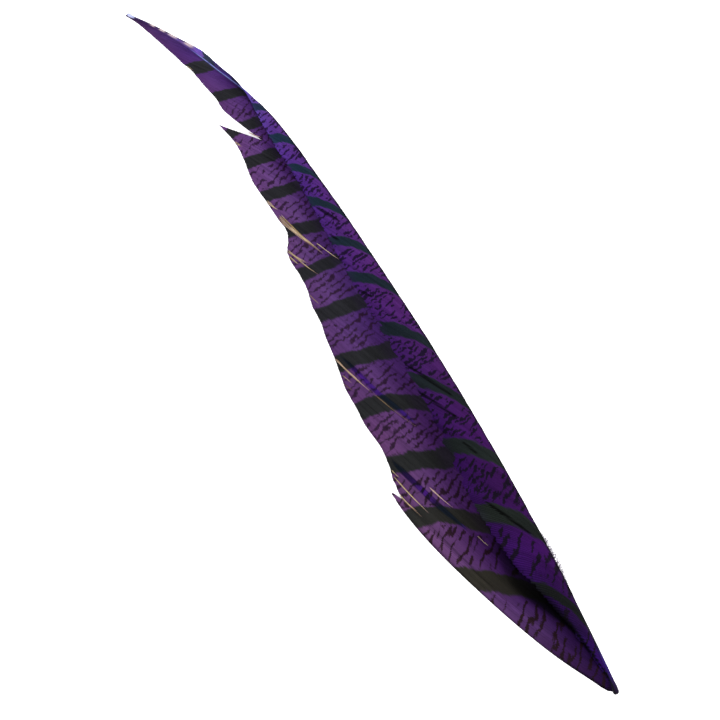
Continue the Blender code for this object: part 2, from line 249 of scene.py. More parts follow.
# The face that looked up: a deeper dye, bluish bars and short, fine strokes.
RICH_FACE = {
    "dye": [
        (0, "#38224e"), (12, "#3d2450"), (17, "#3d2650"), (22, "#4d3876"), (29, "#4a3870"),
        (32, "#59449c"), (35, "#4f3a82"), (42, "#35285f"), (55, "#4c3584"), (65, "#483075"),
        (80, "#45276d"), (110, "#3c1d60"), (140, "#3d1c5a"), (170, "#391752"), (215, "#301346"),
        (245, "#2c0d43"), (275, "#270b3b"), (305, "#2a0a43"), (345, "#1a092c"), (380, "#290755"),
    ],
    "bars": [
        (30, "#2a3142"), (54, "#1c1c36"), (80, "#142333"), (120, "#121e28"), (175, "#111920"),
        (225, "#13181a"), (275, "#171c19"), (318, "#121414"), (340, "#0e1010"), (380, "#0c0a10"),
    ],
    "fine_lines": [(50, "#201238"), (110, "#180b28"), (250, "#100918"), (380, "#100814")],
    "in_fold": [
        (0, 1), (60, 1.15), (80, 1.2), (110, 0.93), (150, 1.0), (187, 0.9), (212, 0.85), (237, 0.55),
        (262, 0.8), (287, 0.95), (310, 1.0), (330, 0.6), (350, 1.0), (380, 1.0),
    ],
    "line_lean": [(0, 0.29), (280, 0.4), (320, 0.9), (380, 1.0)],
    "bar_width": [(1, 0.19), (2, 0.15), (3, 0.135)],
    "line_spacing": [(0, 1.8), (90, 1.9), (160, 2.3), (250, 2.8), (275, 4.4), (300, 6.5), (380, 6.5)],
    "wander": 0.9, "waviness": 2.3, "line_width": 0.33, "breaks": 1.05, "broken": (0.42, 0.54),
    "line_strength": [(0, 1), (260, 1), (295, 0.62), (380, 0.62)],
    "gloss": 0.02, "partings": OUTER_PARTINGS,
}
RIM_TINT = (0.28, 0.14, -0.08)  # the rim is a little redder than the fold
# The fold's valley near the quill, painted nearly black as its deep shadow: station, side, reach.
VALLEY_SHADOW = [
    (284, -4.6, 1.0), (300, -6.4, 2.8), (311, -7.4, 3.8), (318, -6.2, 4.0), (326, -3.8, 3.6),
    (334, -1.8, 2.7), (341, -0.2, 1.7), (348, 0.4, 0.9), (366, 0.6, 0.4), (380, -0.3, 0.3),
]
VALLEY_GROWTH = 10.0  # over how many millimetres it sets in
VALLEY_LIGHT = [(284, 0.7), (300, 0.45), (311, 0.25), (322, 0.05), (380, 0.05)]  # what is left in it
# The inner rim is darker than the vane: by the station, what light is left.
RIM_SHADE = [(0, 1), (150, 1), (170, 0.8), (255, 0.8), (268, 0.35), (380, 0.35)]
RIM_SHADE_WIDTH = 0.6
# Beside a parting, shadow is painted for the shade one looks down into between the barbs.
CRACK_REACH = 0.3  # past a parting's edge, as far as it is dark
CRACK_FADE = 1.6  # times that, where it is light again
CRACK_LIGHT = 0.12
CLEAR_CRACK = 0.4  # narrower ones are fainter
WAVER_SEED, CLOUD_SEED, STREAK_SEED = 71, 72, 75

# ------------------------------------------------------------------------------ lines and vectors

NOISE_CELLS = 211, 67
UPWARDS = np.array([0.0, 0.0, 1.0])


def along(points, x):
    """The smooth line through a few points, at x."""
    xs, ys = np.array(points, float).T
    slopes = np.gradient(ys, xs)
    i = np.clip(np.searchsorted(xs, x) - 1, 0, len(xs) - 2)
    span = xs[i + 1] - xs[i]
    t = (x - xs[i]) / span
    start = (1 + 2 * t) * (1 - t) ** 2 * ys[i] + t * (1 - t) ** 2 * span * slopes[i]
    end = t * t * (3 - 2 * t) * ys[i + 1] + t * t * (t - 1) * span * slopes[i + 1]
    return start + end


def between(points, x):
    """The straight lines between a few points, at x."""
    return np.interp(x, *np.array(points).T)


def ease(t):
    """A smooth step from 0 at 0 to 1 at 1."""
    t = np.clip(t, 0, 1)
    return t * t * (3 - 2 * t)


def bell(off, power=2):
    """1 where off is 0, and next to nothing where it is well past 1."""
    return np.exp(-(off**power))


def length_of(vectors):
    return np.linalg.norm(vectors, axis=-1, keepdims=True)


def unit(vectors):
    return vectors / np.maximum(length_of(vectors), 1e-9)


def sideways(vectors, directions):
    """What is left of vectors once the part along unit directions is taken out."""
    return vectors - directions * np.sum(vectors * directions, axis=-1, keepdims=True)


def noise(u, v, seed):
    """Smooth noise from -1 to 1 over two coordinates, one cell to a unit."""
    grid = np.random.default_rng(seed).uniform(-1, 1, NOISE_CELLS)
    i, j = np.floor(u).astype(int), np.floor(v).astype(int)
    a, b = ease(u - i), ease(v - j)
    rows, columns = grid.shape
    near = grid[i % rows, j % columns] * (1 - b) + grid[i % rows, (j + 1) % columns] * b
    far = grid[(i + 1) % rows, j % columns] * (1 - b) + grid[(i + 1) % rows, (j + 1) % columns] * b
    return near * (1 - a) + far * a


def place(points):
    """From millimetres along the feather to metres about the middle of its box."""
    return (points - np.array([*MIDDLE, 0.0])) * MM


def linear(hex_colour):
    """An sRGB hex value as linear RGBA."""
    parts = [int(hex_colour[i : i + 2], 16) / 255 for i in (1, 3, 5)]
    return [c / 12.92 if c <= 0.04045 else ((c + 0.055) / 1.055) ** 2.4 for c in parts] + [1.0]


def colour_at(stops, x):
    """The colour at station x, between the colours that are named at a few stations."""
    stations = [station for station, _ in stops]
    colours = np.array([linear(colour) for _, colour in stops])
    return np.stack([np.interp(x, stations, colours[:, k]) for k in range(3)], -1)


# ------------------------------------------------------------------------------- shaft and vanes


def shaft_radius(x):
    share = np.maximum(x, 0) / LENGTH
    return SHAFT_TIP_RADIUS + (SHAFT_QUILL_RADIUS - SHAFT_TIP_RADIUS) * share**0.9


def shaft_height(x):
    """The height of the shaft's middle."""
    return np.maximum(along(SHAFT_LIFT, x), 0) + SHAFT_SUNK * shaft_radius(x)


def root(line):
    """The station at which the barbs of a line leave the shaft."""
    return LAST_ROOT * line / LINES


def inner_height(x, y):
    """The inner vane's arch, from the shaft down to the rim."""
    side = along(SHAFT_LINE, x)
    share = np.clip((side - y) / (side - along(LEFT_EDGE, x)), 0, 1)
    lift = RIM_LIFT_SHARE * np.maximum(along(SHAFT_LIFT, x), 0)
    rest = RIM_HEIGHT + np.where(x < RIM_REST_STATION, lift, 0)
    slope = shaft_height(x) * (1 - share) + rest * share
    return slope + along(INNER_ARCH, x) * np.sin(np.pi * share ** along(ARCH_SKEW, x))


def inner_barb(line, t, tip_x, rim):
    """The inner barb of a line from its root to a tip on the rim, in plan."""
    x0 = root(line)
    y0 = along(SHAFT_LINE, x0)
    dx, dy = tip_x - x0, along(rim, tip_x) - y0
    level, slope, curve = QUILL_BOW_SHAPE
    fuller = level + slope * t + curve * t * t + QUILL_BOW_ROOT * (1 - t) ** QUILL_BOW_FALL
    bow = INNER_BOW + QUILL_BOW * fuller * (x0 / LAST_ROOT) ** QUILL_BOW_GROWTH
    bend = bow * 4 * t * (1 - t)
    return np.stack([x0 + dx * t - dy * bend, y0 + dy * t + dx * bend], -1)


def inner_point(line, t):
    """The inner vane's middle surface; just past the slit its barbs are spread to close its root."""
    tip_x = along(INNER_TIP_OF_ROOT, root(line))
    before = inner_barb(line, t, tip_x, RIM_BEFORE_SLIT)
    after = inner_barb(line, t, tip_x, RIM_AFTER_SLIT)
    slit = np.full_like(line, SLIT_LINE)
    slit_x = along(INNER_TIP_OF_ROOT, root(slit))
    side = inner_barb(slit, t, slit_x, RIM_BEFORE_SLIT)
    opening = np.clip((t - SLIT_SPLIT) / (1 - SLIT_SPLIT), 0, 1)
    here = np.array([slit_x[0, 0], along(RIM_BEFORE_SLIT, slit_x[0, 0])])
    side = side + (np.array(RIM_AFTER_SLIT[0]) - here) * opening[..., None]
    from_slit = np.clip(line - SLIT_LINE, 0, 1)[..., None]
    plan = np.where(line[..., None] < SLIT_LINE, before, side * (1 - from_slit) + after * from_slit)
    x, y = plan[..., 0], plan[..., 1]
    return np.stack([x, y, inner_height(x, y)], -1)


def outer_point(line, t):
    """The outer vane's middle surface: flat near the tip, rolled over the shaft further on."""
    x = root(line) + (along(OUTER_TIP_OF_ROOT, root(line)) - root(line)) * t
    folded = ease((x - FOLD_START) / (FOLD_END - FOLD_START))
    start = np.stack([along(SHAFT_LINE, x), shaft_height(x)], -1)
    rim_side = along(OUTER_RIM_SIDE, x)
    resting = inner_height(x, rim_side) + along(RIM_STANDS_OFF, x)
    rim_height = along(OUTER_RIM_HEIGHT, x) * (1 - folded) + resting * folded
    rim = np.stack([rim_side, rim_height], -1)
    folded = folded[..., None]
    roll = np.minimum(1, length_of(rim - start) / ROLL_REACH)
    out = start + np.stack([between(ROLL_OUT, x), ROLL_UP + 0 * x], -1) * roll
    over = np.concatenate([start[..., :1] - ROLL_BACK * roll, rim[..., 1:] + ROLL_RISE * roll], -1)
    first = (start * 2 + rim) / 3 * (1 - folded) + out * folded
    second = (start + rim * 2) / 3 * (1 - folded) + over * folded
    u = t[..., None]
    side = start * (1 - u) ** 3 + first * 3 * u * (1 - u) ** 2 + second * 3 * u * u * (1 - u)
    side = side + rim * u**3
    return np.concatenate([x[..., None], side], -1)


def drawn_in(surface, line, t, width, split, pinch):
    """How far barbs move where they gather in points: width is a point's, in lines."""
    middle = np.where(line < LAST_LOCK, (np.floor(line / width) + 0.5) * width, LINES)
    point = surface(line, t)
    ahead = surface(line, np.minimum(1, t + HEADING_SHARE))
    direction = unit(ahead - surface(line, np.maximum(0, t - HEADING_SHARE)))
    inwards = sideways(surface(middle, t) - point, direction)
    opening = np.clip((t - split) / (1 - split), 0, 1)[..., None]
    return inwards * pinch * opening


def beside_parting(points, start, end):
    """How far along a parting points are, as a share of it, how far off its line, and its square."""
    start, end = np.array(start), np.array(end)
    span = np.linalg.norm(end - start)
    heading = (end - start) / span
    square = np.array([-heading[1], heading[0]])
    off = points[..., :2] - start
    return off @ heading / span, off @ square, square


def give_way(points, partings):
    """How far barbs move aside for the partings."""
    moves = np.zeros_like(points[..., :2])
    for start, end, width in partings:
        reach, side, square = beside_parting(points, start, end)
        nearest = np.argmin(np.abs(reach - 0.5), axis=1)[:, None]
        sign = np.sign(np.take_along_axis(side, nearest, 1))
        opening = width / 2 * np.sin(np.pi * np.clip(reach, 0, 1)) ** PARTING_BLUNTNESS
        give = sign * opening * np.clip(1 - np.abs(side) / PARTING_REACH, 0, 1)
        moves = moves + give[..., None] * square
    return moves


def barb_lines(surface, gaps, partings, uneven, seed):
    """The barbs of one vane: their points, widths and facings. uneven is how far some fall short."""
    draw = np.random.default_rng(seed)
    lines = (np.arange(BARBS) + 0.5) * LINES / BARBS
    line, t = np.meshgrid(lines, np.linspace(0, 1, BARB_STEPS + 1), indexing="ij")
    reach = length_of(surface(line[:, -1:], t[:, -1:]) - surface(line[:, :1], t[:, :1]))[..., 0]
    uneven = uneven * ease((root(line[:, :1]) - UNEVEN_FROM) / UNEVEN_GROWTH)
    short = uneven * draw.random((BARBS, 1)) ** 2 / np.maximum(reach, UNEVEN_PARTS * uneven + 1)
    t = t * (1 - short)
    points = surface(line, t)
    width = (LINES / BARBS) / 2
    lock = np.floor(line / LOCK_LINES) * LOCK_LINES
    before, after = np.maximum(line - width, lock), np.minimum(line + width, lock + LOCK_LINES - 1e-6)
    across = (surface(after, t) - surface(before, t)) / (after - before)[..., None] * 2 * width
    direction = unit(np.gradient(points, axis=1))
    across = sideways(across, direction)
    facing = unit(np.cross(direction, across))
    # the locks, with their crowns and their points
    off_middle = np.abs(line - (lock + LOCK_LINES / 2))[..., None]
    rise = ease(t / CROWN_SHARE) * ease(root(line) / CROWN_STATION)
    crown = LOCK_CROWN * length_of(across) * (1 / width) * (1 - off_middle) * rise[..., None]
    edge = (LOCK_LINES * np.round(line / LOCK_LINES)).astype(int)
    split = np.vectorize(lambda number: gaps.get(number, LOCK_SPLIT))(edge)
    pinch = np.where(split == LOCK_SPLIT, LOCK_PINCH, GAP_PINCH)[..., None]
    points = points + drawn_in(surface, line, t, LOCK_LINES, split, pinch)
    points[..., 2] += crown[..., 0]
    # the finer points in each lock, the partings, and the ripples that the barbs lie in
    wisp = np.floor(lines / WISP_LINES).astype(int)
    wisp_split = draw.uniform(*WISP_SPLIT, wisp.max() + 1)[wisp][:, None] + np.zeros_like(t)
    points = points + drawn_in(surface, line, t, WISP_LINES, wisp_split, WISP_PINCH)
    points[..., :2] += give_way(points, partings)
    fine, narrower, shorter = FINE_RIPPLE
    ripple = noise(line / RIPPLE_ACROSS, t / RIPPLE_ALONG, seed + 1)
    ripple += fine * noise(line / RIPPLE_ACROSS * narrower, t / RIPPLE_ALONG * shorter, seed + 2)
    points = points + facing * (RIPPLE * ripple * ease(t / CROWN_SHARE))[..., None]
    roll = BARB_ROLL * noise(line / RIPPLE_ACROSS * BARB_ROLL_ACROSS, t / RIPPLE_ALONG, seed + 3)
    facing = unit(facing + unit(across) * roll[..., None])
    thinning = 1 - (1 - BARB_TIP_WIDTH) * ease((t - 1 + BARB_TIP_SHARE) / BARB_TIP_SHARE)
    return {
        "points": points,
        "half_width": length_of(across)[..., 0] / 2 * BARB_OVERLAP * thinning,
        "facing": facing,
        "line": line,
        "share": t,
        "draw": draw,
    }


# ------------------------------------------------------------------------------- what the dye does, and the painted shade


def bar_count(x, stations):
    """Which bar a station falls on, counted with its fractions; stations has a row for each point."""
    k = np.clip(np.sum(stations < x[..., None], axis=-1), 1, stations.shape[-1] - 1)
    lower = np.take_along_axis(stations, (k - 1)[..., None], -1)[..., 0]
    upper = np.take_along_axis(stations, k[..., None], -1)[..., 0]
    return k - 1 + np.clip((x - lower) / (upper - lower), 0, 1)


def inner_across(points):
    """0 at the inner vane's rim and 1 in the fold; more beneath the folded vane."""
    x, y = points[..., 0], points[..., 1]
    rim = along(LEFT_EDGE, x)
    fold = np.minimum(along(OUTER_RIM_SIDE, x), along(SHAFT_LINE, x))
    return np.clip((y - rim) / (fold - rim), 0, 2)


def outer_across(points):
    """0 at the outer vane's rim and 1 at its roll."""
    x, y = points[..., 0], points[..., 1]
    rim = along(OUTER_RIM_SIDE, x)
    width = along(SHAFT_LINE, x) + ROLL_SIDE - rim
    width = np.where(np.abs(width) < NARROWEST, NARROWEST, width)
    return np.clip((y - rim) / width, 0, 1)


def inner_bars(points):
    at_rim, at_fold, bend = np.array(INNER_BARS, float).T
    across = inner_across(points)[..., None]
    return bar_count(points[..., 0], at_rim + (at_fold - at_rim) * across**bend)


def outer_bars(points):
    at_rim, further = np.array(OUTER_BARS, float).T
    across = outer_across(points)[..., None]
    run = BAR_STRAIGHT * across + (1 - BAR_STRAIGHT) * (1 - np.sqrt(1 - across**2))
    return bar_count(points[..., 0], at_rim + further * run)


def lines_passed(spacing, run):
    """How many fine lines lie between the tip and a place, where their spacing changes on the way."""
    stations = np.linspace(-LINE_MARGIN, LENGTH + LINE_MARGIN, LINE_SAMPLES)
    step = stations[1] - stations[0]
    return np.interp(run, stations, np.cumsum(step / between(spacing, stations)))


def parting_shadow(points, partings):
    """How much light the shadow painted beside the partings leaves."""
    light = np.ones_like(points[..., 0])
    # a painted shadow along each parting
    for start, end, width in partings:
        reach, side, _ = beside_parting(points, start, end)
        dark_to = width / 2 * np.sin(np.pi * np.clip(reach, 0, 1)) + CRACK_REACH
        dark = ease(CRACK_FADE - np.abs(side) / dark_to)
        dark = dark * min(1, width / CLEAR_CRACK) * ((reach > 0) & (reach < 1))
        light = np.minimum(light, 1 - (1 - CRACK_LIGHT) * dark)
    return light


def dyed(barbs, look, bars, to_fold):
    """What the dye and the painted shade leave on each point of the barbs, as material attributes.

    to_fold is 1 in the fold between the vanes and 0 on the far side of the vane.
    """
    points, line, share, draw = (barbs[key] for key in ("points", "line", "share", "draw"))
    x, y = points[..., 0], points[..., 1]
    one_a_barb = len(bars), 1
    # the bars
    bars = bars + draw.uniform(-BAR_SERRATION, BAR_SERRATION, one_a_barb)
    bars = bars + BAR_WAVER * noise(x / WAVER_CELL, y / WAVER_CELL, WAVER_SEED)
    nearest = np.abs(bars - np.round(bars))
    bar_width = between(look["bar_width"], np.round(bars))
    nearest[(bars < FIRST_BARS) | (bars > LAST_BARS)] = 0.5
    # the light left: tone, and painted shade in the valley, beside the partings and in the fold
    tone = 1 + TONE_CLOUDS * noise(line * CLOUDS_ACROSS, share * CLOUDS_ALONG, CLOUD_SEED)
    tone = tone + TONE_OF_BARB * draw.uniform(-1, 1, one_a_barb)
    # painted shade in the fold between the vanes, partly a deeper dye there
    shaded_from = between(FOLD_SHADE, x)
    in_fold = ease((to_fold - shaded_from) / (1 - shaded_from))
    painted_fold_shade = 1 + (between(look["in_fold"], x) - 1) * in_fold
    # a painted shadow darkens the valley of the fold near the quill
    station, side, reach = np.array(VALLEY_SHADOW).T
    off = (y - np.interp(x, station, side)) / np.interp(x, station, reach)
    valley_shadow = bell(off, 4) * ease((x - station[0]) / VALLEY_GROWTH)
    valley = 1 - (1 - between(VALLEY_LIGHT, x)) * valley_shadow
    light = (tone * valley * parting_shadow(points, look["partings"]))[..., None]
    shade = light * painted_fold_shade[..., None] ** np.array(FOLD_SHADE_TINT)
    tint = 1 + np.array(RIM_TINT) * (0.5 - np.clip(to_fold, 0, 1))[..., None]
    ground = colour_at(look["dye"], x) * shade * tint
    fade = FADE_IN_FOLD * ease((to_fold - FADE_FROM) / (1 - FADE_FROM))[..., None]
    # the bars take the fold's painted shade too
    bar_dye_and_shade = colour_at(look["bars"], x) * light * painted_fold_shade[..., None] ** BAR_IN_FOLD
    # the fine lines
    begun = ease((bars - FINE_LINES_BEGIN) / (FINE_LINES_FULL - FINE_LINES_BEGIN))
    clear_from, clear_at = CLEAR_OF_BAR
    clear = ease((nearest - bar_width - clear_from) / (clear_at - clear_from))
    off_shaft = y - along(SHAFT_LINE, x)
    counted = lines_passed(look["line_spacing"], x + along(look["line_lean"], x) * off_shaft)
    counted = counted + draw.uniform(-LINE_STEP, LINE_STEP, one_a_barb)
    beside = off_shaft / between(look["line_spacing"], x)
    return {
        "ground": ground,
        "bar_dye_and_shade": bar_dye_and_shade * (1 - fade) + ground * fade,
        "line_dye_and_shade": colour_at(look["fine_lines"], x) * shade,
        "in_bar": bar_width - nearest,
        "fine_lines": begun * clear * between(look["line_strength"], x),
        "pattern": np.stack([counted, beside, 0 * beside], -1),
    }


def shaded(values, light):
    """Makes a vane's colours lighter or darker."""
    for key in ("ground", "bar_dye_and_shade", "line_dye_and_shade"):
        values[key] *= light[..., None]


# ------------------------------------------------------------------- nodes, objects and the barbs


def add_node(tree, kind, inputs=None, **settings):
    """Adds a node with its settings. An input is a value, or a socket or node that it's linked to."""
    node = tree.nodes.new(kind)
    for name, value in settings.items():
        setattr(node, name, value)
    for name, value in (inputs or {}).items():
        socket = node.inputs[name]
        if isinstance(value, bpy.types.Node):
            value = value.outputs[0]
        if isinstance(value, bpy.types.NodeSocket):
            tree.links.new(value, socket)
        elif isinstance(value, str) and value.startswith("#"):
            socket.default_value = linear(value)
        else:
            socket.default_value = value
    return node


def barb_tree():
    """Barbs along lines: each line gets a flat, two-ridged section as wide as its points say."""
    tree = bpy.data.node_groups.new("barbs_along_lines", "GeometryNodeTree")
    face = tree.interface
    face.new_socket("Lines", in_out="INPUT", socket_type="NodeSocketGeometry")
    relief = face.new_socket("Relief", in_out="INPUT", socket_type="NodeSocketFloat")
    relief.default_value = BARB_RELIEF
    sides = face.new_socket("Sides", in_out="INPUT", socket_type="NodeSocketInt")
    sides.default_value = BARB_SIDES
    face.new_socket("Material", in_out="INPUT", socket_type="NodeSocketMaterial")
    face.new_socket("Barbs", in_out="OUTPUT", socket_type="NodeSocketGeometry")
    given = tree.nodes.new("NodeGroupInput").outputs
    node = partial(add_node, tree)
    curve = node("GeometryNodeMeshToCurve", {"Mesh": given["Lines"]})
    facing = node("GeometryNodeInputNamedAttribute", {"Name": "facing"}, data_type="FLOAT_VECTOR")
    turned = node("GeometryNodeSetCurveNormal", {"Curve": curve, "Normal": facing}, mode="FREE")
    ring = node("GeometryNodeCurvePrimitiveCircle", {"Resolution": given["Sides"], "Radius": 1.0})
    flat = node("ShaderNodeCombineXYZ", {"X": given["Relief"], "Y": 1.0, "Z": 1.0})
    section = node("GeometryNodeTransform", {"Geometry": ring, "Scale": flat})
    width = node("GeometryNodeInputNamedAttribute", {"Name": "half_width"}, data_type="FLOAT")
    shape = {"Curve": turned, "Profile Curve": section, "Scale": width, "Fill Caps": True}
    swept = node("GeometryNodeCurveToMesh", shape)
    smooth = node("GeometryNodeSetShadeSmooth", {"Geometry": swept})
    real = node("GeometryNodeRealizeInstances", {"Geometry": smooth})
    finished = node("GeometryNodeSetMaterial", {"Geometry": real, "Material": given["Material"]})
    node("NodeGroupOutput", {"Barbs": finished})
    return tree


def new_object(name, data):
    """An object in the scene."""
    thing = bpy.data.objects.new(name, data)
    bpy.context.scene.collection.objects.link(thing)
    return thing


def add_values(data, name, values):
    """An attribute with a number, or with three, for each point."""
    values = np.asarray(values, np.float32)
    if values.size == len(data.vertices) * 3:
        data.attributes.new(name, "FLOAT_VECTOR", "POINT").data.foreach_set("vector", values.ravel())
    else:
        data.attributes.new(name, "FLOAT", "POINT").data.foreach_set("value", values.ravel())


def swept_piece(name, tree, barbs, material, values):
    """A plain mesh of barbs, from the lines that their points make."""
    points = place(barbs["points"])
    count, steps = points.shape[:2]
    numbers = np.arange(count * steps).reshape(count, steps)
    edges = np.stack([numbers[:, :-1].ravel(), numbers[:, 1:].ravel()], -1)
    data = bpy.data.meshes.new(name + "_lines")
    data.from_pydata(points.reshape(-1, 3).tolist(), edges.tolist(), [])
    add_values(data, "half_width", barbs["half_width"] * MM)
    add_values(data, "facing", barbs["facing"])
    for key, value in values.items():
        add_values(data, key, value)
    lines = new_object(name + "_lines", data)
    sweep = lines.modifiers.new("barbs", "NODES")
    sweep.node_group = tree
    for item in tree.interface.items_tree:
        if item.name == "Material":
            sweep[item.identifier] = material
    graph = bpy.context.evaluated_depsgraph_get()
    mesh = bpy.data.meshes.new_from_object(lines.evaluated_get(graph))
    bpy.data.objects.remove(lines)
    mesh.name = name
    return new_object(name, mesh)


def web_piece(name, barbs, material, values, splits):
    """The web that the barbules make between the barbs: a thin sheet, split where locks stand apart.

    splits gives, for a lock's edge, the share of the barbs from which the web is open there.
    """
    points, facing, share = (barbs[key][:, ::WEB_STEP] for key in ("points", "facing", "share"))
    count, steps = share.shape
    whole = np.ones((count - 1, steps - 1), bool)
    for edge, split in splits.items():
        beside = np.searchsorted(barbs["line"][:, 0], edge) - 1
        whole[beside] = share[beside, 1:] < split
    number = np.arange(share.size).reshape(count, steps)
    near, along_near = number[:-1, :-1], number[:-1, 1:]
    far, along_far = number[1:, :-1], number[1:, 1:]
    upper = np.stack([near, along_near, along_far, far], -1)[whole]
    faces = [upper, upper[:, ::-1] + share.size]
    # walls where the sheet ends: each cell's edges, and in which direction the next cell lies
    padded = np.pad(whole, 1)
    sides = [(near, along_near, 0, 1), (along_near, along_far, 1, 2)]
    sides += [(along_far, far, 2, 1), (far, near, 1, 0)]
    for start, end, row, column in sides:
        ending = whole & ~padded[row : row + count - 1, column : column + steps - 1]
        start, end = start[ending], end[ending]
        faces.append(np.stack([end, start, start + share.size, end + share.size], -1))
    layers = np.concatenate([points + facing * WEB_HALF, points - facing * WEB_HALF])
    data = bpy.data.meshes.new(name)
    data.from_pydata(place(layers).reshape(-1, 3).tolist(), [], np.concatenate(faces).tolist())
    for key, value in values.items():
        value = value[:, ::WEB_STEP]
        add_values(data, key, np.concatenate([value, value]))
    data.materials.append(material)
    data.shade_smooth()
    data.validate()
    return new_object(name, data)


# ------------------------------------------------------------------------------------ materials


def new_material(name, roughness, gloss):
    """A material, what adds nodes and links to it, its shader's sockets, and a place on the object."""
    material = bpy.data.materials.new(name)
    material.use_nodes = True
    tree = material.node_tree
    shader = tree.nodes["Principled BSDF"].inputs
    shader["Roughness"].default_value = roughness
    shader["Specular IOR Level"].default_value = gloss
    where = add_node(tree, "ShaderNodeTexCoord").outputs["Object"]
    return material, partial(add_node, tree), tree.links.new, shader, where


def dyed_barbs(name, look):
    """Feather barbs, dyed over their own dark bars: the dye takes on the pale ground only.

    Between the bars run fine dark lines, wavy and broken, about square to the barbs. They show the
    eye the direction of the barbs as much as the barbs' own ridges do.
    """
    material, node, link, shader, where = new_material(name, 0.5, look["gloss"])
    given = {
        key: node("ShaderNodeAttribute", attribute_name=key).outputs
        for key in ("ground", "bar_dye_and_shade", "line_dye_and_shade", "in_bar", "fine_lines", "pattern")
    }
    pattern = given["pattern"]["Vector"]
    # the fine lines: evenly spaced along the barbs, then bent by one noise and broken by another
    run = node("ShaderNodeSeparateXYZ", {"Vector": pattern}).outputs["X"]
    bend = {"Vector": pattern, "Scale": look["wander"], "Detail": 3.0, "Roughness": 0.6}
    wander = node("ShaderNodeTexNoise", bend)
    wavy = {0: wander, 1: look["waviness"], 2: run}
    phase = node("ShaderNodeMath", wavy, operation="MULTIPLY_ADD")
    turn = node("ShaderNodeMath", {0: phase}, operation="FRACT")
    middle = node("ShaderNodeMath", {0: turn, 1: 0.5}, operation="SUBTRACT")
    off_line = node("ShaderNodeMath", {0: middle}, operation="ABSOLUTE")
    shifted = {"Vector": pattern, "Location": BREAKS_SHIFT, "Scale": (1, 1 / LINE_STRETCH, 1)}
    stretched = node("ShaderNodeMapping", shifted)
    breaks = node("ShaderNodeTexNoise", {"Vector": stretched, "Scale": look["breaks"], "Detail": 1.0})
    low, high = look["broken"]
    swell = {"Value": breaks, "From Min": low, "From Max": high, "To Max": look["line_width"]}
    unbroken = node("ShaderNodeMapRange", swell, interpolation_type="SMOOTHSTEP")
    weighed = {0: unbroken, 1: given["fine_lines"]["Fac"]}
    width = node("ShaderNodeMath", weighed, operation="MULTIPLY")
    stroke = node("ShaderNodeMath", {0: width, 1: off_line}, operation="SUBTRACT")
    soft, full = STROKE_EDGE
    line = node("ShaderNodeMapRange", {"Value": stroke, "From Min": soft, "From Max": full})
    over_ground = {0: line, 6: given["ground"]["Color"], 7: given["line_dye_and_shade"]["Color"]}
    lined = node("ShaderNodeMix", over_ground, data_type="RGBA").outputs[2]
    edge = {"Value": given["in_bar"]["Fac"], "From Min": -BAR_SOFTNESS, "From Max": BAR_SOFTNESS}
    bar = node("ShaderNodeMapRange", edge, interpolation_type="SMOOTHSTEP")
    over_lines = {0: bar, 6: lined, 7: given["bar_dye_and_shade"]["Color"]}
    barred = node("ShaderNodeMix", over_lines, data_type="RGBA").outputs[2]
    link(barred, shader["Base Color"])
    # barbules: the velvet that crosses each barb, really 0.03 mm apart and drawn 0.85 mm apart
    pile = {"Vector": where, "Scale": 0.52 / MM, "Distortion": 2.0, "Detail": 1.0}
    weave = node("ShaderNodeTexWave", pile, bands_direction="DIAGONAL").outputs["Fac"]
    bump = node("ShaderNodeBump", {"Strength": 0.25, "Distance": 0.1 * MM, "Height": weave})
    link(bump.outputs[0], shader["Normal"])
    return material


def shaft_keratin():
    """Horn-like keratin, smooth and half clear: pale lilac at the tip, dark with dye at the quill, and
    with shade painted in its groove.
    """
    material, node, link, shader, where = new_material("stained_shaft_keratin", 0.4, 0.04)
    # this colour carries the shaft's stain and the shade painted in its groove
    stain_and_groove_shade = node("ShaderNodeAttribute", attribute_name="stain_and_groove_shade").outputs["Color"]
    # spots of dye, 2.5 mm apart
    clouds = node("ShaderNodeTexNoise", {"Vector": where, "Scale": 0.4 / MM, "Detail": 3.0})
    spotting = {"Value": clouds, "From Min": 0.55, "From Max": 0.75, "To Max": 0.6}
    spots = node("ShaderNodeMapRange", spotting)
    spotted = node("ShaderNodeMix", {0: spots, 6: stain_and_groove_shade, 7: "#140d22"}, data_type="RGBA").outputs[2]
    link(spotted, shader["Base Color"])
    # the horn's fibres, really 0.01 mm thick and drawn 1.1 mm apart
    fibres = node("ShaderNodeTexNoise", {"Vector": where, "Scale": 0.9 / MM, "Detail": 2.0})
    bump = node("ShaderNodeBump", {"Strength": 0.15, "Distance": 0.1 * MM, "Height": fibres})
    link(bump.outputs[0], shader["Normal"])
    return material


def bare_barbs():
    """Barbs worn bare, so that the dye missed them: cream, stringy and a little glossy."""
    material, node, link, shader, where = new_material("undyed_barb_keratin", 0.5, 0.2)
    cream = node("ShaderNodeAttribute", attribute_name="cream").outputs["Color"]
    # dirt in patches, 1.4 mm apart
    grain = node("ShaderNodeTexNoise", {"Vector": where, "Scale": 0.7 / MM, "Detail": 2.0})
    dirt = node("ShaderNodeMapRange", {"Value": grain, "From Min": 0.5, "From Max": 0.8, "To Max": 0.5})
    grimy = node("ShaderNodeMix", {0: dirt, 6: cream, 7: "#6f5a4c"}, data_type="RGBA").outputs[2]
    link(grimy, shader["Base Color"])
    return material


def white_down():
    """Down: white, soft and without a shine, so fine that light passes between its strands."""
    material, node, link, shader, where = new_material("undyed_down", 0.8, 0.1)
    # whiter and greyer tufts, 8 mm apart
    tint = node("ShaderNodeTexNoise", {"Vector": where, "Scale": 0.12 / MM, "Detail": 1.0})
    mixed = node("ShaderNodeMix", {0: tint, 6: "#9d97a0", 7: "#6f6878"}, data_type="RGBA").outputs[2]
    link(mixed, shader["Base Color"])
    return material


